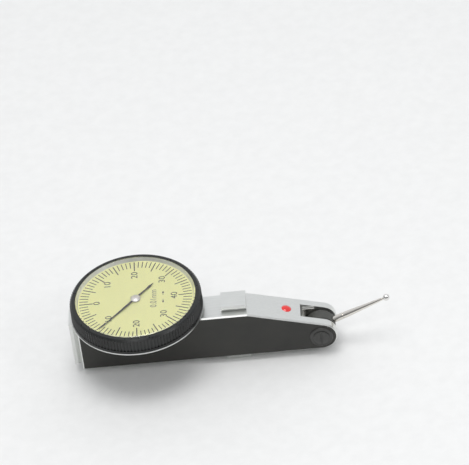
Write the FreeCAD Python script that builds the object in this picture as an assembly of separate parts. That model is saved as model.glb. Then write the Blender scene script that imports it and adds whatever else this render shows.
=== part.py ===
"""Lever-type dial test indicator: slim bar body with dovetails, turning bezel with its dial, and ball stylus.

Millimetres, +Z up. The origin lies on the dial axis, in the plane of the bar's bottom face.
+X runs along the body towards the stylus, and the side cover closes the +Y side.
"""
import FreeCAD, Part
import math
import os

# ---------------------------------------------------------------- driving dimensions
# body bar
dovetail_height = 2.3
dovetail_width = 6.5
dovetail_land = 1.0
dovetail_length = 7.2
dovetail_flank_deg = 60.0
rear_dovetail_above_body = 0.9
rear_dovetail_above_base = 1.0
body_width = 10.0
body_height = 15.3
rear_upstand = 0.55
rear_clearance = 0.05
flat_top_end_x = 31.3
top_dovetail_end_x = 31.25
edge_chamfer = 0.35
wall_front = 1.4
wall_top = 1.5
wall_rear = 1.8
cavity_front_x = 43.6
cover_thickness = 1.1
cover_ledge = 0.8
cover_gap = 0.03
plate_to_cover = 0.05

# pivot, ears and washers
pivot_x = 51.8
nose_radius = 4.6
slot_width = 5.1
slot_end_x = 46.4
pivot_shaft_radius = 1.1
journal_radius = 0.6
journal_depth = 1.5
pivot_thread_radius = 1.9
pivot_head_radius = 2.3
pivot_head_height = 0.55
head_bulge_share = 0.6
driver_slot_width = 0.6
driver_slot_depth = 0.35
washer_radius = 3.4
washer_thickness = 0.4
washer_chamfer = 0.25
running_clearance = 0.05
side_clearance = 0.12

# stylus and its knuckle
stylus_length = 21.2
stylus_rest_deg = 23.2
range_per_turn = 0.8
ball_diameter = 2.0
knuckle_inset = 0.3
knuckle_width = 3.8
knuckle_chamfer = 0.3
thread_radius = 0.7
thread_start = 1.7
collar_gap = 0.1
collar_radius = 0.95
collar_end = 7.4
groove_radius = 0.75
groove_length = 0.3
cone_start = 0.4
taper_end_radius = 0.43
neck_radius = 0.28
neck_length = 0.35

# measuring lever: fork cheeks, web, arm and pin
cheek_thickness = 0.4
cheek_radius = 3.0
cheek_rise = 4.7
cheek_rise_end = 1.5
web_gap = 0.3
web_half_height = 1.2
web_thickness = 1.15
web_clearance = 0.5
arm_half_height = 0.8
arm_taper = 0.6
arm_y = (0.7, 1.8)
eye_share = 2.2
lever_pin_radius = 0.4
lever_slot_clearance = 0.12
friction_inset = 0.4
friction_thickness = 0.1
window_y = (0.3, 2.2)
window_low = 3.2
window_high = 6.9

# gear train
gear_module = 0.16
sector_teeth = 100
crown_pinion_teeth = 18
crown_teeth = 60
centre_pinion_teeth = 12
backlash_share = 0.2
train_height = 6.9
arbor_radius = 0.5
arbor_pivot_radius = 0.3
arbor_shoulder = 0.08
sector_half_deg = 19.8
sector_waist = 1.3
sector_hub = 1.56
sector_hub_low = 0.15
sector_hub_high = 0.3
sector_tail_wall = 0.7
sector_tail_reach = 1.1
pinion_overlap = 0.2
crown_tooth_inner = 0.4
crown_tooth_outer = 0.2
crown_hub_radius = 1.1
crown_hub_height = 0.5
tooth_root_sink = 0.05
centre_pinion_width = 1.1
centre_pinion_reach = 0.7

# bushes, movement plate, bridge and hairspring
bush_radius = 1.0
bush_width = 0.7
centre_bush_radius = 1.4
foot_bush_radius = 0.75
bush_proud = 0.4
post_radius = 1.1
post_offset = 3.9
post_gap = 0.25
mid_bar_share = 1.6
bridge_leg_x = -4.4
bridge_leg_width = 1.0
bridge_screw_x = -6.2
bridge_screw_cover = 0.4
bridge_mid_y = 0.7
bridge_width = 2.4
bridge_flange = 0.8
bridge_foot_height = 1.0
bridge_foot_edge = 0.35
bridge_gap = 0.45
spring_start_radius = 0.9
spring_pitch = 0.5
spring_half_turns = 9
spring_thickness = 0.1
spring_width = 0.3
spring_wall_gap = 0.3
stud_radius = 0.3
stud_seat = 0.6

# screws and their bosses
screw_radius = 0.55
screw_head_radius = 1.0
screw_head_height = 0.5
screw_depth = 2.2
screw_slot_width = 0.24
screw_turn_start = 25.0
screw_turn_step = 40.0
case_screw_depth = 1.1
case_screw_points = [(-12.0, 0.0), (11.0, 2.6), (11.0, -2.6)]
boss_radius = 1.2
boss_inset = 1.0

# dial case and snap ring
skirt_wall = 1.12
cup_inset = 0.8
case_floor = 1.2
case_wall = 1.1
case_gap = 0.25
flange_overhang = 0.15
flange_thickness = 0.4
groove_width = 0.6
groove_depth = 0.35
spring_lift = 0.06
spring_split = 0.6
spring_proud = 0.25

# bezel, crystal, rehaut and dial
bezel_radius = 19.0
bezel_height = 4.6
bezel_gap = 0.2
bezel_clearance = 0.08
bezel_lip_width = 1.7
bezel_chamfer = 0.65
bezel_top_above_body = 6.5
knurl_depth = 0.32
knurl_count = 120
knurl_margin = 0.5
shoulder_height = 0.7
shoulder_width = 0.7
crystal_thickness = 0.5
crystal_proud = 0.15
crystal_chamfer = 0.15
crystal_bevel = 0.25
rehaut_width = 0.65
rehaut_height = 0.95
rehaut_foot = 0.05
dial_thickness = 0.4
dial_hole_radius = 1.3

# hand and cap
hand_tip_gap = 0.8
hand_tail = 7.8
hand_rest_deg = 229.0
hand_thickness = 0.15
hand_above_dial = 0.32
hand_root_half = 0.32
hand_neck_half = 0.11
hand_tip_share = 0.9
hand_waist_half = 0.16
spade_half = 0.36
spade_start = 0.58
spade_middle = 0.8
hand_disc_share = 0.8
hand_seat_radius = 0.35
cap_radius = 1.45
cap_height = 0.45

# seal plug on the sloping top
plug_x = 42.5
plug_radius = 1.4
plug_dome = 0.45
plug_depth_share = 0.8

# fits, how far a cutting tool reaches past the face it opens, and how deep a boss roots in its wall
fit_gap = 0.02
past = 1.0
sink = 0.2
root_depth = 0.5

# ---------------------------------------------------------------- derived positions
half_width = body_width / 2.0
case_radius = bezel_radius - skirt_wall - bezel_clearance
case_cup_radius = case_radius - cup_inset
flange_radius = bezel_radius + flange_overhang
bezel_lip_radius = bezel_radius - bezel_lip_width
sight_radius = bezel_lip_radius - rehaut_width
shoulder_radius = bezel_lip_radius - shoulder_width
hand_length = sight_radius - hand_tip_gap
body_rear_x = -(case_cup_radius + rear_clearance + rear_upstand)
cavity_rear_x = body_rear_x + wall_rear
body_bottom_z = 0.0
body_top_z = body_bottom_z + body_height
pivot_z = body_bottom_z + nose_radius
knuckle_radius = nose_radius - knuckle_inset
web_front_x = pivot_x - knuckle_radius - web_gap
web_rear_x = web_front_x - web_thickness
bezel_top_z = body_top_z + bezel_top_above_body
train_z = body_bottom_z + train_height
front_wall_y = -half_width + wall_front
cover_inner_y = half_width - cover_thickness
crown_pinion_r = gear_module * crown_pinion_teeth / 2.0
sector_r = gear_module * sector_teeth / 2.0
crown_r = gear_module * crown_teeth / 2.0
centre_pinion_r = gear_module * centre_pinion_teeth / 2.0
sector_x = crown_pinion_r + sector_r
hand_ratio = 2.0 * math.pi * stylus_length / range_per_turn
gear_ratio = (sector_teeth / crown_pinion_teeth) * (crown_teeth / centre_pinion_teeth)
lever_ratio = hand_ratio / gear_ratio
sector_arm = (pivot_x - sector_x) / (1.0 + lever_ratio)
lever_pin_x = sector_x + sector_arm
addendum = 0.8 * gear_module
dedendum = 1.15 * gear_module

# gear layers along Y
sector_plate_y = -0.6
sector_plate_width = 0.8
crown_face_y = -centre_pinion_r
crown_disc_width = 0.7
plate_width = 1.0
plate_y = cover_inner_y - plate_to_cover - screw_head_height - plate_width
spring_y = front_wall_y + spring_wall_gap

# dial stack along Z
bezel_bottom_z = bezel_top_z - bezel_height
crystal_bottom_z = bezel_top_z + crystal_proud - crystal_thickness
dial_top_z = crystal_bottom_z - rehaut_height
dial_bottom_z = dial_top_z - dial_thickness
shoulder_bottom_z = dial_bottom_z - shoulder_height
flange_top_z = bezel_bottom_z - bezel_gap
flange_bottom_z = flange_top_z - flange_thickness
case_top_z = shoulder_bottom_z - case_gap
floor_top_z = body_top_z + case_floor
hand_z = dial_top_z + hand_above_dial
groove_low_z = (flange_top_z + case_top_z - groove_width) / 2.0
groove_high_z = groove_low_z + groove_width
groove_floor_r = case_radius - groove_depth
spring_ring_r = case_radius + spring_proud
knurl_low_z = bezel_bottom_z + knurl_margin
bridge_high_z = train_z + crown_r - centre_pinion_reach - bridge_gap
bridge_low_z = bridge_high_z - bridge_foot_height
stud_x = spring_start_radius + spring_half_turns * spring_pitch / 2.0

# slope of the top face: tangent from the end of the flat top to the nose arc
slope_run = pivot_x - flat_top_end_x
slope_drop = body_top_z - pivot_z
slope_angle = math.atan2(slope_drop, slope_run) - math.asin(nose_radius / math.hypot(slope_run, slope_drop))
Y_AXIS = FreeCAD.Vector(0, 1, 0)
Z_AXIS = FreeCAD.Vector(0, 0, 1)


# ---------------------------------------------------------------- helpers
def vec(x, y, z):
    return FreeCAD.Vector(x, y, z)


def cyl_z(radius, low, high, x=0.0, y=0.0):
    return Part.makeCylinder(radius, high - low, vec(x, y, low), Z_AXIS)


def cyl_y(radius, low, high, x, z):
    return Part.makeCylinder(radius, high - low, vec(x, low, z), Y_AXIS)


def box(x0, x1, y0, y1, z0, z1):
    return Part.makeBox(x1 - x0, y1 - y0, z1 - z0, vec(x0, y0, z0))


def prism(points, direction):
    """Extrudes a closed polygon of vectors along a vector."""
    wire = Part.makePolygon(points + [points[0]])
    return Part.Face(wire).extrude(direction)


def prism_xz(outline, low, high):
    """Extrudes an (x, z) outline from y = low to y = high."""
    return prism([vec(x, low, z) for x, z in outline], vec(0, high - low, 0))


def revolve_z(profile):
    """Turns an (r, z) profile about the dial axis."""
    wire = Part.makePolygon([vec(r, 0, z) for r, z in profile + [profile[0]]])
    return Part.Face(wire).revolve(vec(0, 0, 0), Z_AXIS, 360)


def turned(shape, x, z, degrees):
    """Rotates a shape about the +Y line through (x, z)."""
    copy = shape.copy()
    copy.rotate(vec(x, 0, z), Y_AXIS, degrees)
    return copy


def joined(shapes):
    result = shapes[0]
    if len(shapes) > 1:
        result = shapes[0].multiFuse(shapes[1:])
    return result.removeSplitter()


def top_z(x):
    """Height of the body's top at x, along the flat and the slope."""
    if x <= flat_top_end_x:
        return body_top_z
    return body_top_z - (x - flat_top_end_x) * math.tan(slope_angle)


def tooth_ring(teeth, first_angle, count, root, pitch, tip):
    """Outline points of `count` teeth in a row, the first centred on first_angle (radians)."""
    step = 2.0 * math.pi / teeth
    half_pitch = step / 4.0 * (1.0 - backlash_share)
    flank = math.tan(math.radians(20.0))
    half_root = half_pitch + (pitch - root) * flank / pitch
    half_tip = half_pitch - (tip - pitch) * flank / pitch
    half_root = min(half_root, step * 0.45)
    points = []
    for i in range(count):
        middle = first_angle + i * step
        points.append((root, middle - half_root))
        points.append((tip, middle - half_tip))
        points.append((tip, middle + half_tip))
        points.append((root, middle + half_root))
    return points


def write(name, shape):
    shape.exportStep(os.path.join("parts", name + ".step"))


# ---------------------------------------------------------------- body
def body_outline(offset=0.0):
    """Side profile of the bar as a wire in the XZ plane, inset by offset."""
    bottom = body_bottom_z + offset
    rear = body_rear_x + offset
    top = body_top_z - offset
    radius = nose_radius - offset
    nx = math.sin(slope_angle)
    nz = math.cos(slope_angle)
    knee_x = flat_top_end_x - offset * math.tan(slope_angle / 2.0)
    tangent = vec(pivot_x + radius * nx, 0, pivot_z + radius * nz)
    front = vec(pivot_x + radius, 0, pivot_z)
    low = vec(pivot_x, 0, pivot_z - radius)
    edges = [
        Part.LineSegment(vec(rear, 0, bottom), vec(rear, 0, top)).toShape(),
        Part.LineSegment(vec(rear, 0, top), vec(knee_x, 0, top)).toShape(),
        Part.LineSegment(vec(knee_x, 0, top), tangent).toShape(),
        Part.Arc(tangent, front, low).toShape(),
        Part.LineSegment(low, vec(rear, 0, bottom)).toShape(),
    ]
    return Part.Wire(edges)


def bar_blank():
    """The solid bar: a middle slab and two chamfered side slabs, lofted so that every long edge is broken."""
    inner = body_outline(0.0)
    inset = body_outline(edge_chamfer)
    middle_low = -half_width + edge_chamfer
    middle = Part.Face(inner).extrude(vec(0, 2.0 * (half_width - edge_chamfer), 0))
    middle.translate(vec(0, middle_low, 0))
    near_in = inner.copy()
    near_in.translate(vec(0, middle_low, 0))
    near_out = inset.copy()
    near_out.translate(vec(0, -half_width, 0))
    far_in = inner.copy()
    far_in.translate(vec(0, -middle_low, 0))
    far_out = inset.copy()
    far_out.translate(vec(0, half_width, 0))
    near = Part.makeLoft([near_in, near_out], True, True)
    far = Part.makeLoft([far_in, far_out], True, True)
    return joined([middle, near, far])


def dovetail_section():
    """Symmetric (across, up) outline of a dovetail that stands on a face at up = 0."""
    flank_height = dovetail_height - dovetail_land
    half = dovetail_width / 2.0
    root = half - flank_height / math.tan(math.radians(dovetail_flank_deg))
    return [(-root, -root_depth), (-root, 0.0), (-half, flank_height), (-half, dovetail_height),
            (half, dovetail_height), (half, flank_height), (root, 0.0), (root, -root_depth)]


def top_dovetail():
    start = top_dovetail_end_x - dovetail_length
    return prism([vec(start, y, body_top_z + z) for y, z in dovetail_section()], vec(dovetail_length, 0, 0))


def bottom_dovetail():
    start = top_dovetail_end_x - dovetail_length
    return prism([vec(start, y, body_bottom_z - z) for y, z in dovetail_section()], vec(dovetail_length, 0, 0))


def rear_dovetail():
    """Upright dovetail on the rear face, with the small upstand that backs its top end."""
    low = body_bottom_z + rear_dovetail_above_base
    high = body_top_z + rear_dovetail_above_body
    rail = prism([vec(body_rear_x - z, y, low) for y, z in dovetail_section()], vec(0, 0, high - low))
    half = dovetail_width / 2.0
    upstand = box(body_rear_x, body_rear_x + rear_upstand, -half, half, body_top_z - root_depth, high)
    return joined([rail, upstand])


def cavity_outline(grow=0.0):
    """Inside of the bar in the XZ plane: parallel to the bottom, the flat top and the slope."""
    low = body_bottom_z + wall_top - grow
    rear = cavity_rear_x - grow
    front = cavity_front_x + grow
    drop = wall_top - grow
    knee = flat_top_end_x - drop * math.tan(slope_angle / 2.0)
    front_top = top_z(front) - drop / math.cos(slope_angle)
    high = body_top_z - drop
    return [(rear, low), (front, low), (front, front_top), (knee, high), (rear, high)]


def cover_screw_points():
    outline = cavity_outline(-boss_inset)
    return [outline[0], outline[1], outline[3], outline[4]]


def post_points():
    """Pillars that carry the movement plate, clear of the crown gear and of the sector's sweep."""
    left = bridge_screw_x - screw_head_radius - post_radius - post_gap
    low = body_bottom_z + wall_top + post_radius
    high = body_top_z - wall_top - post_radius
    right = sector_x + post_offset
    return [(left, low), (left, high), (right, low), (right, high)]


def plug_place(shape):
    """Moves a shape built upright at the origin onto the slope, square to it."""
    shape.rotate(vec(0, 0, 0), Y_AXIS, math.degrees(slope_angle))
    shape.translate(vec(plug_x, 0, top_z(plug_x)))
    return shape


def body_pillars():
    """Bosses of the cover screws and the pillars of the movement plate, standing on the front wall."""
    low = front_wall_y - sink
    bosses = [cyl_y(boss_radius, low, cover_inner_y, x, z) for x, z in cover_screw_points()]
    posts = [cyl_y(post_radius, low, plate_y, x, z) for x, z in post_points()]
    return bosses + posts


def stylus_slot():
    """Fork slot of the nose, with a pocket for the lever's web and the window for its arm."""
    half = slot_width / 2.0
    slot = box(slot_end_x, pivot_x + 2 * nose_radius, -half, half, body_bottom_z - past, body_top_z)
    pocket_half = web_half_height + web_clearance
    pocket = box(web_rear_x - web_clearance, slot_end_x + past, -half, half,
                 pivot_z - pocket_half, pivot_z + pocket_half)
    window = box(cavity_front_x - past, slot_end_x + past, window_y[0], window_y[1],
                 body_bottom_z + window_low, body_bottom_z + window_high)
    return [slot, pocket, window]


def body_holes():
    """Screw holes, bush seats and bores of the body."""
    tap = screw_radius + fit_gap
    cuts = []
    for x, z in cover_screw_points():
        cuts.append(cyl_y(tap, cover_inner_y - screw_depth, cover_inner_y + past, x, z))
    for x, z in post_points():
        cuts.append(cyl_y(tap, plate_y - screw_depth, plate_y + past, x, z))
    for x in (0.0, sector_x):
        cuts.append(cyl_y(bush_radius, front_wall_y - bush_width, front_wall_y + sink, x, train_z))
    for x, y in case_screw_points:
        cuts.append(cyl_z(tap, body_top_z - case_screw_depth, body_top_z + past, x, y))
    cuts.append(cyl_z(centre_bush_radius, body_top_z - wall_top - past, body_top_z + past))
    cuts.append(cyl_z(tap, body_top_z - wall_top - past, body_top_z - bridge_screw_cover,
                      bridge_screw_x, bridge_mid_y))
    cuts.append(plug_place(cyl_z(plug_radius + fit_gap, -wall_top - past, past)))
    cuts.append(cyl_y(pivot_thread_radius + fit_gap, -half_width - past, half_width + past, pivot_x, pivot_z))
    cuts.append(cyl_y(stud_radius, front_wall_y - stud_seat, front_wall_y + sink, stud_x, train_z))
    return cuts


def body_frame():
    shape = joined([bar_blank(), top_dovetail(), bottom_dovetail(), rear_dovetail()])
    cavity = prism_xz(cavity_outline(), front_wall_y, half_width)
    recess = prism_xz(cavity_outline(cover_ledge), cover_inner_y, half_width + past)
    shape = joined([shape.cut(cavity.multiFuse([recess]))] + body_pillars())
    cuts = stylus_slot() + body_holes()
    return shape.cut(cuts[0].multiFuse(cuts[1:]))


def side_cover():
    """Plate over the open side, with a counterbored hole for each screw."""
    plate = prism_xz(cavity_outline(cover_ledge - cover_gap), cover_inner_y, half_width)
    seat = half_width - screw_head_height
    holes = []
    for x, z in cover_screw_points():
        holes.append(cyl_y(screw_radius + fit_gap, cover_inner_y - past, half_width, x, z))
        holes.append(cyl_y(screw_head_radius + fit_gap, seat, half_width + past, x, z))
    return plate.cut(holes[0].multiFuse(holes[1:]))


def slotted_screw(shank_length):
    """Cheese-head screw along +Z: head from z = 0 up, shank from z = 0 down, slot across the head."""
    height = screw_head_height
    reach = screw_head_radius + past
    half = screw_slot_width / 2.0
    head = cyl_z(screw_head_radius, 0.0, height)
    shank = cyl_z(screw_radius, -shank_length, 0.0)
    slot = box(-reach, reach, -half, half, height / 2.0, height + past)
    return joined([head, shank]).cut(slot)


def screw_set(points, length, seat, along_y):
    """The same screw at every point, seated at `seat` on the Z or the Y axis."""
    screws = []
    for number, (a, b) in enumerate(points):
        screw = slotted_screw(length)
        screw.rotate(vec(0, 0, 0), Z_AXIS, screw_turn_start + screw_turn_step * number)
        if along_y:
            screw.rotate(vec(0, 0, 0), vec(1, 0, 0), -90.0)
            screw.translate(vec(a, seat, b))
        else:
            screw.translate(vec(a, b, seat))
        screws.append(screw)
    return Part.makeCompound(screws)


def seal_plug():
    """Domed plug: a shank in the top wall under a low spherical cap."""
    sphere_radius = (plug_radius ** 2 + plug_dome ** 2) / (2.0 * plug_dome)
    ball = Part.makeSphere(sphere_radius, vec(0, 0, plug_dome - sphere_radius))
    dome = ball.common(cyl_z(plug_radius, 0.0, plug_dome + past))
    shank = cyl_z(plug_radius, -wall_top * plug_depth_share, 0.0)
    return plug_place(joined([dome, shank]))


# ---------------------------------------------------------------- pivot of the measuring lever
def pivot_screw(side):
    """Threaded bearing plug with a domed, slotted head; side is -1 for the near ear and 1 for the far ear."""
    seat = half_width + washer_thickness
    inner = slot_width / 2.0 + side_clearance
    plug = cyl_z(pivot_thread_radius, inner, seat)
    bulge = pivot_head_height * head_bulge_share
    sphere_radius = (pivot_head_radius ** 2 + bulge ** 2) / (2.0 * bulge)
    crown = Part.makeSphere(sphere_radius, vec(0, 0, seat + pivot_head_height - sphere_radius))
    head = crown.common(cyl_z(pivot_head_radius, seat, seat + pivot_head_height + past))
    bore = cyl_z(journal_radius + running_clearance, inner - past, inner + journal_depth)
    top = seat + pivot_head_height
    half = driver_slot_width / 2.0
    reach = pivot_head_radius + past
    driver_slot = box(-half, half, -reach, reach, top - driver_slot_depth, top + past)
    screw = joined([plug, head]).cut(bore).cut(driver_slot)
    screw.rotate(vec(0, 0, 0), vec(1, 0, 0), 90.0 if side < 0 else -90.0)
    screw.translate(vec(pivot_x, 0, pivot_z))
    return screw


def pivot_washers():
    """Dished washers under the pivot screw heads, chamfered at the outer edge."""
    low = half_width
    high = half_width + washer_thickness
    bore = pivot_thread_radius + fit_gap
    profile = [(bore, low), (washer_radius, low), (washer_radius, high - washer_chamfer),
               (washer_radius - washer_chamfer, high), (bore, high)]
    washers = []
    for tilt in (90.0, -90.0):
        washer = revolve_z(profile)
        washer.rotate(vec(0, 0, 0), vec(1, 0, 0), tilt)
        washer.translate(vec(pivot_x, 0, pivot_z))
        washers.append(washer)
    return Part.makeCompound(washers)


def pivot_shaft():
    cheek = slot_width / 2.0 - side_clearance
    end = slot_width / 2.0 + side_clearance + journal_depth - collar_gap
    body = cyl_y(pivot_shaft_radius, -cheek, cheek, pivot_x, pivot_z)
    journals = cyl_y(journal_radius, -end, end, pivot_x, pivot_z)
    return joined([body, journals])


def lever_arm():
    """Fork round the knuckle, a web behind it, and the long tapering arm that reaches the sector."""
    outer = slot_width / 2.0 - side_clearance
    inner = outer - cheek_thickness
    low = pivot_z - web_half_height
    high = pivot_z + web_half_height
    rise_x = slot_end_x + web_clearance
    rise_z = pivot_z + cheek_rise
    cheek = [(web_rear_x, low), (pivot_x, low), (pivot_x, high), (pivot_x - cheek_rise_end, rise_z),
             (rise_x, rise_z), (rise_x, high), (web_rear_x, high)]
    pieces = [box(web_rear_x, web_front_x, -outer, outer, low, high)]
    for near, far in ((-outer, -inner), (inner, outer)):
        pieces.append(cyl_y(cheek_radius, near, far, pivot_x, pivot_z))
        pieces.append(prism_xz(cheek, near, far))
    root_half = arm_half_height
    tip_half = arm_half_height * arm_taper
    arm = prism_xz([(web_front_x, pivot_z - root_half), (web_front_x, pivot_z + root_half),
                    (lever_pin_x, train_z + tip_half), (lever_pin_x, train_z - tip_half)], arm_y[0], arm_y[1])
    eye = cyl_y(lever_pin_radius * eye_share, arm_y[0], arm_y[1], lever_pin_x, train_z)
    shape = joined(pieces + [arm, eye])
    shape = shape.cut(cyl_y(pivot_shaft_radius, -outer - past, outer + past, pivot_x, pivot_z))
    return shape.cut(cyl_y(lever_pin_radius, arm_y[0] - past, arm_y[1] + past, lever_pin_x, train_z))


def lever_pin():
    return cyl_y(lever_pin_radius, sector_plate_y, arm_y[1], lever_pin_x, train_z)


def friction_washer():
    """Thin washer between the near cheek and the knuckle, which lets the stylus be set by hand."""
    low = -(slot_width / 2.0 - side_clearance - cheek_thickness)
    disc = cyl_y(cheek_radius - friction_inset, low, low + friction_thickness, pivot_x, pivot_z)
    return disc.cut(cyl_y(pivot_shaft_radius, low - past, low + past, pivot_x, pivot_z))


def stylus_holder():
    half = knuckle_width / 2.0
    disc = cyl_y(knuckle_radius, -half, half, pivot_x, pivot_z)
    edges = [e for e in disc.Edges if len(e.Vertexes) == 1]
    disc = disc.makeChamfer(knuckle_chamfer, edges)
    bore = cyl_y(pivot_shaft_radius + running_clearance, -half - past, half + past, pivot_x, pivot_z)
    thread = along_stylus(cyl_z(thread_radius, thread_start, knuckle_radius + past))
    return disc.cut(bore).cut(thread)


def along_stylus(shape):
    """Turns a shape built along +Z into the stylus direction and moves it to the pivot."""
    shape.rotate(vec(0, 0, 0), Y_AXIS, 90.0 - stylus_rest_deg)
    shape.translate(vec(pivot_x, 0, pivot_z))
    return shape


def stylus_shank():
    """Thread, plain collar, groove, long taper, and a short thin neck under the ball."""
    collar_start = knuckle_radius + collar_gap
    taper_start = collar_end + groove_length
    cone_z = taper_start + cone_start
    neck_z = stylus_length - ball_diameter / 2.0 - neck_length
    profile = [(0, thread_start), (thread_radius, thread_start), (thread_radius, collar_start),
               (collar_radius, collar_start), (collar_radius, collar_end), (groove_radius, collar_end),
               (groove_radius, taper_start), (collar_radius, taper_start), (collar_radius, cone_z),
               (taper_end_radius, neck_z), (neck_radius, neck_z), (neck_radius, stylus_length), (0, stylus_length)]
    shank = revolve_z(profile)
    shank = shank.cut(Part.makeSphere(ball_diameter / 2.0, vec(0, 0, stylus_length)))
    return along_stylus(shank)


def stylus_ball():
    return along_stylus(Part.makeSphere(ball_diameter / 2.0, vec(0, 0, stylus_length)))


# ---------------------------------------------------------------- gear train
def gear_arbor(x):
    """Arbor along Y with two thin pivots, between the front wall and the movement plate."""
    reach = bush_width - arbor_shoulder
    body = cyl_y(arbor_radius, front_wall_y + arbor_shoulder, plate_y - arbor_shoulder, x, train_z)
    pivots = cyl_y(arbor_pivot_radius, front_wall_y - reach, plate_y + reach, x, train_z)
    return joined([body, pivots])


def sector_gear():
    """Toothed segment towards the dial axis and a slotted tail towards the lever pin."""
    step = 2.0 * math.pi / sector_teeth
    count = 2 * round(math.radians(sector_half_deg) / step + 0.5)
    first = math.pi - (count / 2.0 - 0.5) * step
    teeth = tooth_ring(sector_teeth, first, count, sector_r - dedendum, sector_r, sector_r + addendum)
    rim = [(r * math.cos(a) + sector_x, r * math.sin(a) + train_z) for r, a in teeth]
    waist = sector_waist
    outline = rim + [(sector_x - waist, train_z - waist), (sector_x - waist, train_z + waist)]
    plate = prism_xz(outline, sector_plate_y, sector_plate_y + sector_plate_width)
    high = sector_plate_y + sector_plate_width
    hub = cyl_y(sector_hub, sector_plate_y - sector_hub_low, high + sector_hub_high, sector_x, train_z)
    tail_half = lever_pin_radius + lever_slot_clearance + sector_tail_wall
    tail_end = lever_pin_x + sector_tail_reach
    tail = box(sector_x, tail_end, sector_plate_y, high, train_z - tail_half, train_z + tail_half)
    gap = lever_pin_radius + lever_slot_clearance
    slot = box(lever_pin_x - sector_tail_reach, tail_end + past, -half_width, half_width,
               train_z - gap, train_z + gap)
    shape = joined([plate, hub, tail]).cut(slot)
    return shape.cut(cyl_y(arbor_radius, -half_width, half_width, sector_x, train_z))


def pinion_outline(teeth, module, first_angle):
    """Full ring of teeth as (radius, angle) points."""
    pitch = module * teeth / 2.0
    return tooth_ring(teeth, first_angle, teeth, pitch - dedendum, pitch, pitch + addendum)


def crown_pinion():
    """Small pinion on the crown arbor; a tooth points at the sector."""
    points = [(r * math.cos(a), train_z + r * math.sin(a)) for r, a in
              pinion_outline(crown_pinion_teeth, gear_module, 0.0)]
    low = sector_plate_y - pinion_overlap
    wheel = prism_xz(points, low, sector_plate_y + sector_plate_width + pinion_overlap)
    return wheel.cut(cyl_y(arbor_radius, low - past, half_width, 0.0, train_z))


def crown_gear():
    """Face gear: radial teeth on the side of a disc, facing the centre pinion."""
    outer = crown_r + crown_tooth_outer
    inner = crown_r - crown_tooth_inner
    back = crown_face_y - dedendum - crown_disc_width
    root = crown_face_y - dedendum
    tip = crown_face_y + addendum
    disc = cyl_y(outer, back, root, 0.0, train_z)
    hub = cyl_y(crown_hub_radius, back - crown_hub_height, back, 0.0, train_z)
    step = 2.0 * math.pi / crown_teeth
    half_pitch = crown_r * step / 4.0 * (1.0 - backlash_share)
    flank = math.tan(math.radians(20.0))
    half_root = half_pitch + dedendum * flank
    half_tip = half_pitch - addendum * flank
    section = [vec(-half_root, root - tooth_root_sink, train_z + inner), vec(-half_tip, tip, train_z + inner),
               vec(half_tip, tip, train_z + inner), vec(half_root, root - tooth_root_sink, train_z + inner)]
    tooth = prism(section, vec(0, 0, outer - fit_gap - inner))
    teeth = [turned(tooth, 0.0, train_z, i * 360.0 / crown_teeth) for i in range(crown_teeth)]
    shape = joined([disc, hub] + teeth)
    return shape.cut(cyl_y(arbor_radius, -half_width, half_width, 0.0, train_z))


def centre_arbor():
    """Upright arbor of the hand: bottom pivot, pinion seat, journal in the top bush, hand seat."""
    pivot = cyl_z(arbor_pivot_radius, bridge_low_z + arbor_shoulder, bridge_high_z + sink)
    body = cyl_z(arbor_radius, bridge_high_z + arbor_shoulder, hand_z)
    seat = cyl_z(hand_seat_radius, hand_z - sink, hand_z + hand_thickness)
    return joined([pivot, body, seat])


def centre_pinion():
    """Pinion driven by the crown gear; a gap faces the crown's top tooth."""
    first = -math.pi / 2.0 + math.pi / centre_pinion_teeth
    points = [(r * math.cos(a), r * math.sin(a)) for r, a in
              pinion_outline(centre_pinion_teeth, gear_module, first)]
    low = train_z + crown_r - centre_pinion_reach
    wheel = prism([vec(x, y, low) for x, y in points], vec(0, 0, centre_pinion_width))
    return wheel.cut(cyl_z(arbor_radius, low - past, low + centre_pinion_width + past))


def movement_plate():
    """Plate on four pillars that carries the far ends of both gear arbors."""
    points = post_points()
    left = points[0][0]
    right = points[2][0]
    low = points[0][1]
    high = points[1][1]
    bar_low = box(left, right, plate_y, plate_y + plate_width, low - post_radius, low + post_radius)
    bar_high = box(left, right, plate_y, plate_y + plate_width, high - post_radius, high + post_radius)
    mid_half = bush_radius * mid_bar_share
    bar_mid = box(left, right, plate_y, plate_y + plate_width, train_z - mid_half, train_z + mid_half)
    ends = [cyl_y(post_radius, plate_y, plate_y + plate_width, x, z) for x, z in points]
    rungs = [box(left - post_radius, left + post_radius, plate_y, plate_y + plate_width, low, high),
             box(right - post_radius, right + post_radius, plate_y, plate_y + plate_width, low, high)]
    shape = joined([bar_low, bar_high, bar_mid] + ends + rungs)
    for x, z in points:
        shape = shape.cut(cyl_y(screw_radius + fit_gap, plate_y - past, half_width, x, z))
    for x in (0.0, sector_x):
        shape = shape.cut(cyl_y(bush_radius, plate_y - past, half_width, x, train_z))
    return shape


def arbor_bushes():
    """Bearing bushes of the two gear arbors, in the front wall and in the movement plate."""
    bushes = []
    for x in (0.0, sector_x):
        for low, high in ((front_wall_y - bush_width, front_wall_y), (plate_y, plate_y + bush_width)):
            ring = cyl_y(bush_radius, low, high, x, train_z)
            bore = cyl_y(arbor_pivot_radius + running_clearance, low - past, high + past, x, train_z)
            bushes.append(ring.cut(bore))
    return Part.makeCompound(bushes)


def centre_bushes():
    """Top bush in the body wall and case floor, bottom bush in the bridge foot."""
    top = cyl_z(centre_bush_radius, body_top_z - wall_top, floor_top_z + bush_proud)
    top = top.cut(cyl_z(arbor_radius + running_clearance, 0.0, bezel_top_z))
    foot = cyl_z(foot_bush_radius, bridge_low_z, bridge_high_z)
    foot = foot.cut(cyl_z(arbor_pivot_radius + running_clearance, 0.0, bezel_top_z))
    return Part.makeCompound([top, foot])


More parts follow.
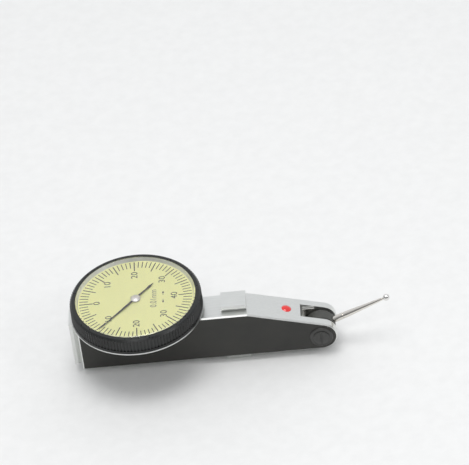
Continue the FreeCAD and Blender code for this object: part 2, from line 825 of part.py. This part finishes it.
def centre_bridge():
    """Bracket under the top wall: flange, leg, and a foot that holds the bottom bush of the centre arbor."""
    wall_z = body_top_z - wall_top
    y0 = bridge_mid_y - bridge_width / 2.0
    y1 = bridge_mid_y + bridge_width / 2.0
    leg_x0 = bridge_leg_x
    leg_x1 = bridge_leg_x + bridge_leg_width
    flange = box(bridge_screw_x - screw_head_radius, leg_x1, y0, y1, wall_z - bridge_flange, wall_z)
    leg = box(leg_x0, leg_x1, y0, y1, bridge_low_z, wall_z)
    foot = box(leg_x0, foot_bush_radius + bridge_foot_edge, y0, y1, bridge_low_z, bridge_high_z)
    shape = joined([flange, leg, foot])
    shape = shape.cut(cyl_z(foot_bush_radius, bridge_low_z - past, bridge_high_z + past))
    return shape.cut(cyl_z(screw_radius + fit_gap, wall_z - bridge_flange - past, wall_z + past,
                           bridge_screw_x, bridge_mid_y))


def bridge_screw():
    screw = slotted_screw(bridge_flange + wall_top - bridge_screw_cover - collar_gap)
    screw.rotate(vec(0, 0, 0), vec(1, 0, 0), 180.0)
    screw.translate(vec(bridge_screw_x, bridge_mid_y, body_top_z - wall_top - bridge_flange))
    return screw


def hairspring():
    """Flat spiral on the crown arbor, built from half circles of growing radius."""
    inner = []
    outer = []
    centre_shift = spring_pitch / 4.0
    radius = spring_start_radius
    side = 1.0
    x = 0.0
    for _ in range(spring_half_turns):
        for arcs, reach in ((inner, side * radius), (outer, side * (radius + spring_thickness))):
            arcs.append((vec(x + reach, 0, 0), vec(x, 0, reach), vec(x - reach, 0, 0)))
        x += side * centre_shift
        radius += centre_shift
        side = -side
    edges = [Part.Arc(*arc).toShape() for arc in inner]
    edges.append(Part.LineSegment(inner[-1][2], outer[-1][2]).toShape())
    edges += [Part.Arc(*arc).toShape() for arc in reversed(outer)]
    edges.append(Part.LineSegment(outer[0][0], inner[0][0]).toShape())
    strip = Part.Face(Part.Wire(Part.__sortEdges__(edges))).extrude(vec(0, spring_width, 0))
    strip.translate(vec(0, spring_y, train_z))
    return strip


def hairspring_stud():
    return cyl_y(stud_radius, front_wall_y - stud_seat, spring_y + spring_width, stud_x, train_z)


def hairspring_collet():
    ring = cyl_y(spring_start_radius, spring_y, spring_y + spring_width, 0.0, train_z)
    return ring.cut(cyl_y(arbor_radius, -half_width, half_width, 0.0, train_z))


# ---------------------------------------------------------------- dial case and bezel
def dial_case():
    """Cup on top of the bar with an outer flange under the bezel and a neck that guides it."""
    inner = case_radius - case_wall
    profile = [(0, body_top_z), (case_cup_radius, body_top_z), (case_cup_radius, flange_bottom_z),
               (flange_radius, flange_bottom_z), (flange_radius, flange_top_z), (case_radius, flange_top_z),
               (case_radius, groove_low_z), (groove_floor_r, groove_low_z),
               (groove_floor_r, groove_high_z), (case_radius, groove_high_z),
               (case_radius, case_top_z), (inner, case_top_z), (inner, floor_top_z), (0, floor_top_z)]
    shape = revolve_z(profile)
    for x, y in case_screw_points:
        shape = shape.cut(cyl_z(screw_radius + fit_gap, body_top_z - past, floor_top_z + past, x, y))
    return shape.cut(cyl_z(centre_bush_radius, body_top_z - past, floor_top_z + past))


def bezel_spring():
    """Split snap ring that sits in the case groove and holds the bezel down."""
    low = groove_low_z + spring_lift
    high = groove_high_z - spring_lift
    half = spring_split / 2.0
    ring = cyl_z(spring_ring_r, low, high).cut(cyl_z(groove_floor_r, low - past, high + past))
    return ring.cut(box(0.0, spring_ring_r + past, -half, half, low - past, high + past))


def knurl_cutter():
    """What is taken off round the bezel: everything outside a star of V ridges, from the lower rim up."""
    root = bezel_radius - knurl_depth
    points = []
    for i in range(knurl_count):
        middle = 2.0 * math.pi * i / knurl_count
        half = math.pi / knurl_count
        points.append((root, middle - half))
        points.append((bezel_radius - fit_gap, middle))
    height = bezel_top_z + past - knurl_low_z
    star = prism([vec(r * math.cos(a), r * math.sin(a), knurl_low_z) for r, a in points], vec(0, 0, height))
    return cyl_z(bezel_radius + past, knurl_low_z, bezel_top_z + past).cut(star)


def bezel_ring():
    """Knurled ring: lip, sight bore, inner shoulder under the dial, skirt with a groove for the snap ring."""
    skirt = case_radius + bezel_clearance
    groove = spring_ring_r + bezel_clearance
    profile = [(bezel_lip_radius, bezel_top_z), (bezel_radius - bezel_chamfer, bezel_top_z),
               (bezel_radius, bezel_top_z - bezel_chamfer), (bezel_radius, bezel_bottom_z),
               (skirt, bezel_bottom_z), (skirt, groove_low_z), (groove, groove_low_z),
               (groove, groove_high_z), (skirt, groove_high_z), (skirt, shoulder_bottom_z),
               (shoulder_radius, shoulder_bottom_z), (shoulder_radius, dial_bottom_z),
               (bezel_lip_radius, dial_bottom_z)]
    return revolve_z(profile).cut(knurl_cutter())


def rehaut_ring():
    """Bright sloping ring between the crystal and the dial."""
    outer = bezel_lip_radius - fit_gap
    return revolve_z([(outer, crystal_bottom_z), (sight_radius, dial_top_z + rehaut_foot),
                      (sight_radius, dial_top_z), (outer, dial_top_z)])


def crystal():
    outer = bezel_lip_radius - fit_gap
    top = crystal_bottom_z + crystal_thickness
    return revolve_z([(0, crystal_bottom_z), (outer, crystal_bottom_z), (outer, top - crystal_chamfer),
                      (outer - crystal_bevel, top), (0, top)])


def dial_plate():
    disc = cyl_z(bezel_lip_radius - fit_gap, dial_bottom_z, dial_top_z)
    return disc.cut(cyl_z(dial_hole_radius, dial_bottom_z - past, dial_top_z + past))


def hand():
    """Tapering pointer with a short spade tail."""
    neck_x = hand_length * hand_tip_share
    outline = [(0.0, hand_root_half), (neck_x, hand_neck_half), (hand_length, 0.0), (neck_x, -hand_neck_half),
               (0.0, -hand_root_half), (-hand_tail * spade_start, -hand_waist_half),
               (-hand_tail * spade_middle, -spade_half), (-hand_tail, 0.0),
               (-hand_tail * spade_middle, spade_half), (-hand_tail * spade_start, hand_waist_half)]
    pointer = prism([vec(x, y, hand_z) for x, y in outline], vec(0, 0, hand_thickness))
    disc = cyl_z(cap_radius * hand_disc_share, hand_z, hand_z + hand_thickness)
    shape = joined([pointer, disc]).cut(cyl_z(hand_seat_radius, hand_z - past, hand_z + past))
    shape.rotate(vec(0, 0, 0), Z_AXIS, hand_rest_deg)
    return shape


def hand_cap():
    low = hand_z + hand_thickness
    sphere_radius = (cap_radius ** 2 + cap_height ** 2) / (2.0 * cap_height)
    ball = Part.makeSphere(sphere_radius, vec(0, 0, low + cap_height - sphere_radius))
    return ball.common(cyl_z(cap_radius, low, low + cap_height + past))


# ---------------------------------------------------------------- build
def main():
    os.makedirs("parts", exist_ok=True)
    cover_seat = half_width - screw_head_height
    parts = {
        "body_frame": body_frame(),
        "side_cover": side_cover(),
        "cover_screws": screw_set(cover_screw_points(), screw_depth, cover_seat, True),
        "seal_plug": seal_plug(),
        "pivot_screw_near": pivot_screw(-1),
        "pivot_screw_far": pivot_screw(1),
        "pivot_washers": pivot_washers(),
        "pivot_shaft": pivot_shaft(),
        "lever_arm": lever_arm(),
        "lever_pin": lever_pin(),
        "friction_washer": friction_washer(),
        "stylus_holder": stylus_holder(),
        "stylus_shank": stylus_shank(),
        "stylus_ball": stylus_ball(),
        "sector_arbor": gear_arbor(sector_x),
        "sector_gear": sector_gear(),
        "crown_arbor": gear_arbor(0.0),
        "crown_pinion": crown_pinion(),
        "crown_gear": crown_gear(),
        "hairspring": hairspring(),
        "hairspring_stud": hairspring_stud(),
        "hairspring_collet": hairspring_collet(),
        "centre_arbor": centre_arbor(),
        "centre_pinion": centre_pinion(),
        "movement_plate": movement_plate(),
        "movement_screws": screw_set(post_points(), screw_depth, plate_y + plate_width, True),
        "arbor_bushes": arbor_bushes(),
        "centre_bushes": centre_bushes(),
        "centre_bridge": centre_bridge(),
        "bridge_screw": bridge_screw(),
        "dial_case": dial_case(),
        "case_screws": screw_set(case_screw_points, case_floor + case_screw_depth - 0.1, floor_top_z, False),
        "bezel_spring": bezel_spring(),
        "bezel_ring": bezel_ring(),
        "rehaut_ring": rehaut_ring(),
        "crystal": crystal(),
        "dial_plate": dial_plate(),
        "hand": hand(),
        "hand_cap": hand_cap(),
    }
    for name, shape in parts.items():
        write(name, shape)


main()
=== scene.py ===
"""Looks of the dial test indicator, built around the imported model.

Metres, +Z up, the same frame as the model: origin on the dial axis at the bar's bottom face,
+X towards the stylus.
"""
import math

import bmesh
import bpy
from mathutils import Matrix, Vector


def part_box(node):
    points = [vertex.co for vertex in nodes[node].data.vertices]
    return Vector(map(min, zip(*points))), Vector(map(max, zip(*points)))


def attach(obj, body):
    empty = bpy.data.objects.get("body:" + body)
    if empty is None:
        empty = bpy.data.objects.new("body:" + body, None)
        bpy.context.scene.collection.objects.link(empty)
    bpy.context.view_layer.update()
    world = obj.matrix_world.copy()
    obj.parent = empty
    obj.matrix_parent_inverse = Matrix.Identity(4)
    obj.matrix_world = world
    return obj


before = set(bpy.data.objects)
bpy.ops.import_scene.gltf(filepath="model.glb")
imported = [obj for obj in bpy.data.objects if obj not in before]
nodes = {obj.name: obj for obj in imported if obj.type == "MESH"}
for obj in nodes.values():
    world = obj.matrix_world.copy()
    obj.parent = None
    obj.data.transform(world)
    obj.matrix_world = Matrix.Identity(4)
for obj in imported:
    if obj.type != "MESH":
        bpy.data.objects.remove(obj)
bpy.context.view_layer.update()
MM = 0.001

# ---------------------------------------------------------------- places read from the model
dial_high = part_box("dial_plate")[1]
body_low, body_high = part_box("body_frame")
floor_z = body_low.z
dial_top = dial_high.z

# ---------------------------------------------------------------- dial print
graduations = 80
print_turn = math.radians(1.5)
tick_outer = 16.25 * MM
tick_long = 3.9 * MM
tick_short = 2.5 * MM
tick_width_long = 0.3 * MM
tick_width_short = 0.24 * MM
print_lift = 0.004 * MM
print_thickness = 0.01 * MM
figure_reach_x = 11.15 * MM
figure_reach_y = 10.5 * MM
figure_height = 1.95 * MM
figure_spread = 1.08
dial_figures = {180: "0", 135: "10", 90: "20", 45: "30", 0: "40", -45: "30", -90: "20", -135: "10"}
unit_place = 5.2 * MM
unit_height = 1.9 * MM
arrow_place = 7.9 * MM
arrow_length = 1.7 * MM
arrow_start = 0.9 * MM
arrow_shaft_half = 0.07 * MM
arrow_head_half = 0.34 * MM
arrow_neck_share = 0.45
long_tick_step = 5
font_size_per_height = 1.38
unit_offset = -0.3 * MM
unit_spread = 0.9

# ---------------------------------------------------------------- camera
camera_elevation = math.radians(40.06)
camera_azimuth = math.radians(3.7)
camera_roll = math.radians(7.6)
camera_distance = 1.0
camera_lens = 268.7
camera_aim = Vector((29.9, 11.2, 32.8)) * MM

# ---------------------------------------------------------------- surface relief and stage
relief_depth = 0.00002
# the next two numbers pick out the bar's flat sides, where a painted dark reflection is laid
side_facing_limit = 0.85
side_place_share = 0.97
floor_half = 3.0
light_target = (0.02, 0.0, 0.01)


# ---------------------------------------------------------------- node material helpers
def link(tree, source, target):
    tree.links.new(source, target)


def new_material(name):
    material = bpy.data.materials.new(name)
    material.use_nodes = True
    tree = material.node_tree
    return material, tree, tree.nodes["Principled BSDF"]


def object_space(tree, scale):
    """Object coordinates scaled per axis, for textures that stay with the piece."""
    place = tree.nodes.new("ShaderNodeTexCoord")
    mapping = tree.nodes.new("ShaderNodeMapping")
    mapping.inputs["Scale"].default_value = scale
    link(tree, place.outputs["Object"], mapping.inputs["Vector"])
    return mapping.outputs["Vector"]


def noise(tree, vector, scale, detail=4.0, roughness=0.55):
    node = tree.nodes.new("ShaderNodeTexNoise")
    node.inputs["Scale"].default_value = scale
    node.inputs["Detail"].default_value = detail
    node.inputs["Roughness"].default_value = roughness
    link(tree, vector, node.inputs["Vector"])
    return node.outputs["Fac"]


def ramp(tree, value, stops):
    """Colour ramp over a value; stops are (position, rgb)."""
    node = tree.nodes.new("ShaderNodeValToRGB")
    elements = node.color_ramp.elements
    while len(elements) < len(stops):
        elements.new(0.5)
    for element, (position, colour) in zip(elements, stops):
        element.position = position
        element.color = (*colour, 1.0)
    link(tree, value, node.inputs["Fac"])
    return node.outputs["Color"]


def span(tree, value, low, high):
    """Maps a 0..1 value to low..high."""
    node = tree.nodes.new("ShaderNodeMapRange")
    node.inputs["From Min"].default_value = 0.3
    node.inputs["From Max"].default_value = 0.7
    node.inputs["To Min"].default_value = low
    node.inputs["To Max"].default_value = high
    link(tree, value, node.inputs["Value"])
    return node.outputs["Result"]


def bump(tree, height, strength, distance, shader):
    node = tree.nodes.new("ShaderNodeBump")
    node.inputs["Strength"].default_value = strength
    node.inputs["Distance"].default_value = distance
    link(tree, height, node.inputs["Height"])
    link(tree, node.outputs["Normal"], shader.inputs["Normal"])


def shade(colour, factor):
    return tuple(min(1.0, channel * factor) for channel in colour)


def metal(name, colour, roughness, grain=(1.0, 1.0, 1.0), grain_scale=900.0, variation=0.08,
          bump_strength=0.15):
    """Metal with a directional grain in its colour, roughness and relief."""
    material, tree, shader = new_material(name)
    vector = object_space(tree, grain)
    fine = noise(tree, vector, grain_scale, 3.0)
    cloud = noise(tree, object_space(tree, (1, 1, 1)), 90.0, 2.0)
    mixed = tree.nodes.new("ShaderNodeMath")
    mixed.operation = "MULTIPLY_ADD"
    mixed.inputs[1].default_value = 0.6
    link(tree, fine, mixed.inputs[0])
    scaled = tree.nodes.new("ShaderNodeMath")
    scaled.operation = "MULTIPLY"
    scaled.inputs[1].default_value = 0.4
    link(tree, cloud, scaled.inputs[0])
    link(tree, scaled.outputs[0], mixed.inputs[2])
    darker, lighter = shade(colour, 1 - variation), shade(colour, 1 + variation)
    tone = ramp(tree, mixed.outputs[0], [(0.3, darker), (0.7, lighter)])
    link(tree, tone, shader.inputs["Base Color"])
    link(tree, span(tree, mixed.outputs[0], roughness * 0.85, roughness * 1.2), shader.inputs["Roughness"])
    shader.inputs["Metallic"].default_value = 1.0
    bump(tree, fine, bump_strength, relief_depth, shader)
    return material


def plastic(name, colour, roughness, scale=600.0, variation=0.06, bump_strength=0.1, coat=0.0):
    """Painted or moulded surface with a faint mottle."""
    material, tree, shader = new_material(name)
    value = noise(tree, object_space(tree, (1, 1, 1)), scale, 5.0)
    tone = ramp(tree, value, [(0.3, shade(colour, 1 - variation)), (0.7, shade(colour, 1 + variation))])
    link(tree, tone, shader.inputs["Base Color"])
    link(tree, span(tree, value, roughness * 0.85, roughness * 1.2), shader.inputs["Roughness"])
    shader.inputs["Coat Weight"].default_value = coat
    shader.inputs["Coat Roughness"].default_value = 0.08
    bump(tree, value, bump_strength, relief_depth, shader)
    return material


def math_node(tree, operation, first, second):
    """One math step; each operand is a socket or a number."""
    node = tree.nodes.new("ShaderNodeMath")
    node.operation = operation
    for slot, value in enumerate((first, second)):
        if isinstance(value, (int, float)):
            node.inputs[slot].default_value = value
        else:
            link(tree, value, node.inputs[slot])
    return node.outputs[0]


def mix_colour(tree, factor, first, second):
    node = tree.nodes.new("ShaderNodeMix")
    node.data_type = "RGBA"
    link(tree, factor, node.inputs["Factor"])
    link(tree, first, node.inputs["A"])
    link(tree, second, node.inputs["B"])
    return node.outputs["Result"]


def mix_value(tree, factor, first, second):
    node = tree.nodes.new("ShaderNodeMix")
    link(tree, factor, node.inputs["Factor"])
    link(tree, first, node.inputs["A"])
    link(tree, second, node.inputs["B"])
    return node.outputs["Result"]


def painted_dark_side_mask(tree):
    """1 on the bar's flat sides, which get the painted dark reflection; 0 on its top, ends, broken edges and
    dovetails.
    """
    coordinates = tree.nodes.new("ShaderNodeTexCoord")
    facing = tree.nodes.new("ShaderNodeSeparateXYZ")
    link(tree, coordinates.outputs["Normal"], facing.inputs[0])
    place = tree.nodes.new("ShaderNodeSeparateXYZ")
    link(tree, coordinates.outputs["Object"], place.inputs[0])
    sideways = math_node(tree, "ABSOLUTE", facing.outputs["Y"], 0.0)
    flat_side = math_node(tree, "GREATER_THAN", sideways, side_facing_limit)
    offset = math_node(tree, "ABSOLUTE", place.outputs["Y"], 0.0)
    outer = math_node(tree, "GREATER_THAN", offset, body_high.y * side_place_share)
    return math_node(tree, "MULTIPLY", flat_side, outer)


def chrome_body_painted_dark_sides(name):
    """Satin chrome bar with ground bright top, ends, dovetails and broken edges; its flat sides are given a
    near-black, duller, less metallic colour as a painted reflection of dark surroundings, not a finish of
    their own.
    """
    material, tree, shader = new_material(name)
    is_side = painted_dark_side_mask(tree)
    grain = noise(tree, object_space(tree, (0.05, 1.0, 1.0)), 4200.0, 3.0)
    cloud = noise(tree, object_space(tree, (1.0, 1.0, 1.0)), 120.0, 3.0)
    bright = ramp(tree, grain, [(0.3, (0.70, 0.71, 0.69)), (0.7, (0.76, 0.77, 0.75))])
    # painted reflection: the near-black side tone stands in for the chrome mirroring dark surroundings
    dark = ramp(tree, cloud, [(0.3, (0.030, 0.030, 0.027)), (0.7, (0.044, 0.043, 0.038))])
    link(tree, mix_colour(tree, is_side, bright, dark), shader.inputs["Base Color"])
    rough = mix_value(tree, is_side, span(tree, grain, 0.30, 0.36), span(tree, cloud, 0.42, 0.52))
    link(tree, rough, shader.inputs["Roughness"])
    metallic = tree.nodes.new("ShaderNodeMapRange")
    metallic.inputs["To Min"].default_value = 1.0
    metallic.inputs["To Max"].default_value = 0.2
    link(tree, is_side, metallic.inputs["Value"])
    link(tree, metallic.outputs["Result"], shader.inputs["Metallic"])
    bump(tree, grain, 0.04, relief_depth, shader)
    return material


def clear(name):
    """Thin acrylic crystal with faint hairline scuffs."""
    material, tree, shader = new_material(name)
    scuff = noise(tree, object_space(tree, (1.0, 0.15, 1.0)), 700.0, 4.0)
    link(tree, span(tree, scuff, 0.0, 0.03), shader.inputs["Roughness"])
    tint = ramp(tree, scuff, [(0.3, (0.985, 0.99, 0.985)), (0.7, (1.0, 1.0, 1.0))])
    link(tree, tint, shader.inputs["Base Color"])
    shader.inputs["Transmission Weight"].default_value = 1.0
    shader.inputs["IOR"].default_value = 1.45
    return material


# ---------------------------------------------------------------- finishes by node
def finish_nodes():
    # the body material paints a dark reflection onto the bar's flat sides
    satin = chrome_body_painted_dark_sides("satin_chrome_dark_side_reflection")
    black = plastic("blackened_steel", (0.040, 0.040, 0.037), 0.36, 900.0, 0.2, 0.12, 0.15)
    knuckle = plastic("blackened_knuckle", (0.052, 0.053, 0.047), 0.45, 1600.0, 0.25, 0.3)
    bezel = plastic("black_bezel_enamel", (0.007, 0.008, 0.0075), 0.3, 1200.0, 0.25, 0.1, 0.0)
    steel = metal("polished_steel", (0.72, 0.71, 0.69), 0.16, (1, 1, 1), 1800.0)
    stylus = metal("stylus_steel", (0.74, 0.71, 0.66), 0.14, (0.2, 1, 1), 2400.0, 0.06, 0.1)
    ball = metal("ball_chrome", (0.78, 0.77, 0.75), 0.07, (1, 1, 1), 600.0, 0.03, 0.02)
    brass = metal("satin_brass", (0.75, 0.56, 0.25), 0.28, (0.3, 1, 1), 1500.0)
    bronze = metal("bearing_bronze", (0.62, 0.42, 0.2), 0.3, (1, 1, 1), 1200.0)
    case = metal("case_satin_chrome", (0.66, 0.67, 0.66), 0.3, (1, 1, 0.1), 1500.0)
    ring = metal("bright_ring", (0.88, 0.88, 0.86), 0.3, (1, 1, 0.2), 1500.0, 0.04, 0.05)
    cap = metal("hand_cap_satin", (0.74, 0.70, 0.68), 0.42, (1, 1, 1), 1500.0, 0.05, 0.05)
    red = plastic("red_plug_gloss", (0.72, 0.022, 0.018), 0.16, 500.0, 0.12, 0.05, 0.5)
    dial = plastic("dial_yellow_print", (0.965, 0.95, 0.46), 0.6, 2500.0, 0.02, 0.03)
    ink = plastic("hand_black", (0.022, 0.021, 0.019), 0.4, 2500.0, 0.2, 0.05)
    glass = clear("clear_crystal")
    finishes = {
        satin: ["body_frame", "side_cover"],
        black: ["pivot_screw_near", "pivot_screw_far", "pivot_washers", "cover_screws"],
        knuckle: ["stylus_holder"],
        bezel: ["bezel_ring"],
        steel: ["pivot_shaft", "lever_arm", "lever_pin", "friction_washer", "sector_arbor", "crown_arbor",
                "crown_pinion", "hairspring", "centre_arbor", "centre_pinion", "movement_screws",
                "bridge_screw", "case_screws", "bezel_spring"],
        stylus: ["stylus_shank"],
        ball: ["stylus_ball"],
        brass: ["sector_gear", "crown_gear", "hairspring_stud", "hairspring_collet", "movement_plate",
                "centre_bridge"],
        bronze: ["arbor_bushes", "centre_bushes"],
        case: ["dial_case"],
        ring: ["rehaut_ring"],
        cap: ["hand_cap"],
        red: ["seal_plug"],
        dial: ["dial_plate"],
        ink: ["hand"],
        glass: ["crystal"],
    }
    for material, names in finishes.items():
        for name in names:
            mesh = nodes[name].data
            mesh.materials.clear()
            mesh.materials.append(material)


# ---------------------------------------------------------------- dial print pieces
def mesh_piece(name, build, body, material):
    """New mesh object filled by build(bm), riding on a body."""
    mesh = bpy.data.meshes.new(name)
    bm = bmesh.new()
    build(bm)
    bm.normal_update()
    bm.to_mesh(mesh)
    bm.free()
    piece = bpy.data.objects.new(name, mesh)
    bpy.context.scene.collection.objects.link(piece)
    mesh.materials.append(material)
    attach(piece, body)
    return piece


def raised_polygon(bm, corners, low, high):
    """Thin prism over a flat outline."""
    base = [bm.verts.new((x, y, low)) for x, y in corners]
    top = [bm.verts.new((x, y, high)) for x, y in corners]
    bm.faces.new(top)
    bm.faces.new(list(reversed(base)))
    for i in range(len(corners)):
        j = (i + 1) % len(corners)
        bm.faces.new((base[i], base[j], top[j], top[i]))


def tick_marks(bm):
    low = dial_top + print_lift
    for i in range(graduations):
        angle = 2.0 * math.pi * i / graduations + print_turn
        is_long = i % long_tick_step == 0
        length = tick_long if is_long else tick_short
        half = (tick_width_long if is_long else tick_width_short) / 2.0
        along = Vector((math.cos(angle), math.sin(angle)))
        across = Vector((-math.sin(angle), math.cos(angle)))
        inner = along * (tick_outer - length)
        outer = along * tick_outer
        corners = [inner - across * half, outer - across * half, outer + across * half, inner + across * half]
        raised_polygon(bm, corners, low, low + print_thickness)


def arrows(bm):
    """Two small arrows that point apart along Y."""
    low = dial_top + print_lift
    for side in (-1.0, 1.0):
        start = side * arrow_start
        neck = side * (arrow_start + arrow_length * arrow_neck_share)
        tip = side * (arrow_start + arrow_length)
        low_shaft, high_shaft = arrow_place - arrow_shaft_half, arrow_place + arrow_shaft_half
        low_head, high_head = arrow_place - arrow_head_half, arrow_place + arrow_head_half
        corners = [(low_shaft, start), (low_shaft, neck), (low_head, neck), (arrow_place, tip),
                   (high_head, neck), (high_shaft, neck), (high_shaft, start)]
        if side > 0:
            corners.reverse()
        raised_polygon(bm, corners, low, low + print_thickness)


def printed_text(name, words, place, height, material, spread=figure_spread):
    """Text laid on the dial, its top towards -X and reading along +Y."""
    curve = bpy.data.curves.new(name, "FONT")
    curve.body = words
    curve.align_x = "CENTER"
    curve.align_y = "CENTER"
    curve.size = height * font_size_per_height
    curve.extrude = print_thickness / 2.0
    curve.resolution_u = 4
    text = bpy.data.objects.new(name + "_curve", curve)
    bpy.context.scene.collection.objects.link(text)
    bpy.context.view_layer.update()
    mesh = bpy.data.meshes.new_from_object(text)
    bpy.data.objects.remove(text)
    squeeze = Matrix.Diagonal((spread, 1.0, 1.0, 1.0))
    turn = Matrix.Rotation(math.radians(90.0), 4, "Z")
    move = Matrix.Translation((place[0], place[1], dial_top + print_lift + print_thickness / 2.0))
    mesh.transform(move @ turn @ squeeze)
    piece = bpy.data.objects.new(name, mesh)
    bpy.context.scene.collection.objects.link(piece)
    mesh.materials.clear()
    mesh.materials.append(material)
    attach(piece, "bezel")
    return piece


def print_dial():
    ink = plastic("dial_ink", (0.045, 0.043, 0.035), 0.55, 3000.0, 0.2, 0.05)
    pale_ink = plastic("dial_ink_pale", (0.26, 0.25, 0.17), 0.55, 3000.0, 0.1, 0.05)
    mesh_piece("dial_ticks", tick_marks, "bezel", ink)
    mesh_piece("dial_arrows", arrows, "bezel", ink)
    for degrees, words in dial_figures.items():
        angle = math.radians(degrees) + print_turn
        place = (figure_reach_x * math.cos(angle), figure_reach_y * math.sin(angle))
        printed_text(f"dial_figure_{degrees % 360}", words, place, figure_height, ink)
    printed_text("dial_unit", "0.01mm", (unit_place, unit_offset), unit_height, pale_ink, unit_spread)


# ---------------------------------------------------------------- stage
def stage():
    material, tree, shader = new_material("floor_paper")
    tone = noise(tree, object_space(tree, (1, 1, 1)), 300.0, 3.0)
    colour = ramp(tree, tone, [(0.3, (0.80, 0.80, 0.79)), (0.7, (0.83, 0.83, 0.82))])
    link(tree, colour, shader.inputs["Base Color"])
    shader.inputs["Roughness"].default_value = 0.9
    mesh = bpy.data.meshes.new("floor")
    corners = [(-floor_half, -floor_half, floor_z), (floor_half, -floor_half, floor_z),
               (floor_half, floor_half, floor_z), (-floor_half, floor_half, floor_z)]
    mesh.from_pydata(corners, [], [(0, 1, 2, 3)])
    floor = bpy.data.objects.new("floor", mesh)
    bpy.context.scene.collection.objects.link(floor)
    mesh.materials.append(material)


def area_light(name, place, aim, size, power):
    lamp = bpy.data.lights.new(name, "AREA")
    lamp.shape = "RECTANGLE"
    lamp.size = size[0]
    lamp.size_y = size[1]
    lamp.energy = power
    holder = bpy.data.objects.new(name, lamp)
    holder.location = place
    holder.rotation_euler = (Vector(aim) - Vector(place)).to_track_quat("-Z", "Y").to_euler()
    bpy.context.scene.collection.objects.link(holder)


def sky():
    """Soft surroundings: bright behind and above the part, dimmer in front of it."""
    world = bpy.data.worlds.new("studio")
    bpy.context.scene.world = world
    world.use_nodes = True
    tree = world.node_tree
    direction = tree.nodes.new("ShaderNodeTexCoord")
    bright_way = tree.nodes.new("ShaderNodeVectorMath")
    bright_way.operation = "DOT_PRODUCT"
    bright_way.inputs[1].default_value = (0.1, 0.75, 0.65)
    link(tree, direction.outputs["Generated"], bright_way.inputs[0])
    level = tree.nodes.new("ShaderNodeMapRange")
    level.inputs["From Min"].default_value = -0.6
    level.inputs["From Max"].default_value = 0.7
    level.inputs["To Min"].default_value = 0.12
    level.inputs["To Max"].default_value = 0.86
    link(tree, bright_way.outputs["Value"], level.inputs["Value"])
    background = tree.nodes["Background"]
    background.inputs["Color"].default_value = (0.96, 0.975, 1.0, 1.0)
    link(tree, level.outputs["Result"], background.inputs["Strength"])


def lights():
    sky()
    area_light("top_softbox", (0.0, -0.05, 0.85), light_target, (0.5, 0.4), 3.0)
    area_light("front_softbox", (-0.05, -0.50, 0.66), light_target, (0.3, 0.12), 0.5)
    area_light("right_strip", (0.52, -0.33, 0.55), light_target, (0.1, 0.16), 0.4)


def camera():
    away = Vector((math.sin(camera_azimuth) * math.cos(camera_elevation),
                   -math.cos(camera_azimuth) * math.cos(camera_elevation), math.sin(camera_elevation)))
    lens = bpy.data.cameras.new("camera")
    lens.sensor_width = 36.0
    lens.lens = camera_lens
    lens.clip_start = 0.01
    lens.clip_end = 20.0
    holder = bpy.data.objects.new("camera", lens)
    turn = (-away).to_track_quat("-Z", "Y").to_matrix().to_4x4()
    roll = Matrix.Rotation(-camera_roll, 4, "Z")
    holder.matrix_world = Matrix.Translation(camera_aim + away * camera_distance) @ turn @ roll
    bpy.context.scene.collection.objects.link(holder)
    bpy.context.scene.camera = holder


finish_nodes()
print_dial()
stage()
lights()
camera()
bpy.context.scene.view_settings.view_transform = "Standard"
